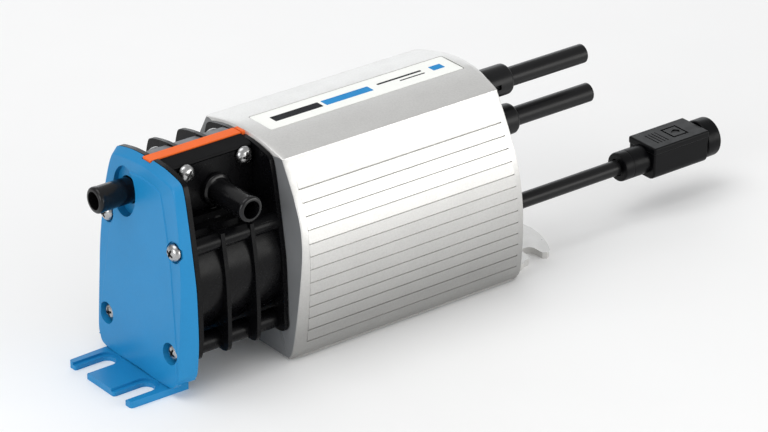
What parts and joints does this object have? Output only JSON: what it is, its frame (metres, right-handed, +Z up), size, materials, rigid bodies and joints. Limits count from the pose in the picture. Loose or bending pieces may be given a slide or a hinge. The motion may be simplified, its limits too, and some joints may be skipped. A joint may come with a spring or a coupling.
{
  "type": "peristaltic pump",
  "caption": "Compact electric peristaltic pump with a slotted front foot, ribbed housing with two hose ports, a long lapped motor cover and rear cables.",
  "frame": {"origin": "middle of the footprint of the pump without its cables, on the surface it stands on", "axes": "+X from the front foot back along the motor axis to the cables, +Y to the side away from the outlet port, +Z up"},
  "size_m": [0.2925, 0.0732, 0.0865],
  "materials": {
    "blue_plastic": "satin",
    "black_plastic": "satin",
    "grey_plastic": "matt",
    "silver_shell": "satin",
    "silver_plastic": "satin",
    "orange_strip": "satin",
    "cream_label": "satin",
    "screw_steel": "polished",
    "cable_pvc": "satin",
    "hose_rubber": "matt",
    "nylon": "matt",
    "brass": "satin",
    "steel": "satin",
    "lamination": "matt",
    "copper_winding": "lacquered",
    "board": "satin"
  },
  "bodies": {
    "pump_body": {"front_cover": "blue_plastic", "pump_housing": "black_plastic", "inlet_port": "black_plastic", "outlet_port": "black_plastic", "valve_block": "black_plastic", "top_label_panel": "black_plastic", "top_strip": "grey_plastic", "indicator_strip": "orange_strip", "indicator_tail": "orange_strip", "motor_cover": "silver_shell", "nameplate": "cream_label", "rear_cap": "silver_plastic", "cable_sleeve_upper": "cable_pvc", "cable_sleeve_lower": "cable_pvc", "cable_stub_upper": "cable_pvc", "cable_stub_lower": "cable_pvc", "lead_gland": "cable_pvc", "lead": "cable_pvc", "strain_relief": "cable_pvc", "connector_body": "black_plastic", "connector_shroud": "black_plastic", "pump_hose": "hose_rubber", "shaft_bush": "brass", "lay_pin": "steel", "gearbox_plate_front": "steel", "gearbox_plate_rear": "steel", "motor_can": "steel", "motor_bell": "steel", "stator_stack": "lamination", "stator_coil_front": "copper_winding", "stator_coil_rear": "copper_winding", "motor_bearing_front": "steel", "motor_bearing_rear": "steel", "circuit_board": "board", "capacitor": "black_plastic", "terminal_block": "board", "front_screw_low_1": "screw_steel", "front_screw_high_1": "screw_steel", "block_screw_near_1": "screw_steel", "block_screw_far_1": "screw_steel", "front_screw_low_2": "screw_steel", "front_screw_high_2": "screw_steel", "block_screw_near_2": "screw_steel", "block_screw_far_2": "screw_steel", "gearbox_spacer_1": "steel", "gearbox_spacer_2": "steel", "gearbox_spacer_3": "steel"},
    "motor_rotor": {"rotor_core": "lamination", "motor_shaft": "steel", "motor_pinion": "brass"},
    "lay_gear_body": {"lay_gear": "nylon"},
    "roller_head": {"output_shaft": "steel", "output_gear": "nylon", "roller_carrier": "nylon", "roller_pin_1": "steel", "roller_pin_2": "steel", "roller_pin_3": "steel"},
    "roller_body_1": {"roller_1": "nylon"},
    "roller_body_2": {"roller_2": "nylon"},
    "roller_body_3": {"roller_3": "nylon"}
  },
  "joints": [
    {"name": "motor_spin", "type": "hinge", "parent": "pump_body", "child": "motor_rotor", "pos_m": [-0.002, 0, 0.041], "axis": [1, 0, 0], "continuous": true},
    {"name": "lay_gear_spin", "type": "hinge", "parent": "pump_body", "child": "lay_gear_body", "pos_m": [-0.0208, -0.012, 0.057], "axis": [1, 0, 0], "continuous": true},
    {"name": "roller_head_spin", "type": "hinge", "parent": "pump_body", "child": "roller_head", "pos_m": [-0.057, 0, 0.041], "axis": [1, 0, 0], "continuous": true},
    {"name": "roller_1_spin", "type": "hinge", "parent": "roller_head", "child": "roller_body_1", "pos_m": [-0.057, 0, 0.0525], "axis": [1, 0, 0], "continuous": true},
    {"name": "roller_2_spin", "type": "hinge", "parent": "roller_head", "child": "roller_body_2", "pos_m": [-0.057, -0.00996, 0.03525], "axis": [1, 0, 0], "continuous": true},
    {"name": "roller_3_spin", "type": "hinge", "parent": "roller_head", "child": "roller_body_3", "pos_m": [-0.057, 0.00996, 0.03525], "axis": [1, 0, 0], "continuous": true}
  ],
  "couplings": [
    {"joint": "lay_gear_spin", "follows": "motor_spin", "ratio": -0.38889},
    {"joint": "roller_head_spin", "follows": "motor_spin", "ratio": 0.12281},
    {"joint": "roller_1_spin", "follows": "motor_spin", "ratio": -0.40526},
    {"joint": "roller_2_spin", "follows": "motor_spin", "ratio": -0.40526},
    {"joint": "roller_3_spin", "follows": "motor_spin", "ratio": -0.40526}
  ]
}
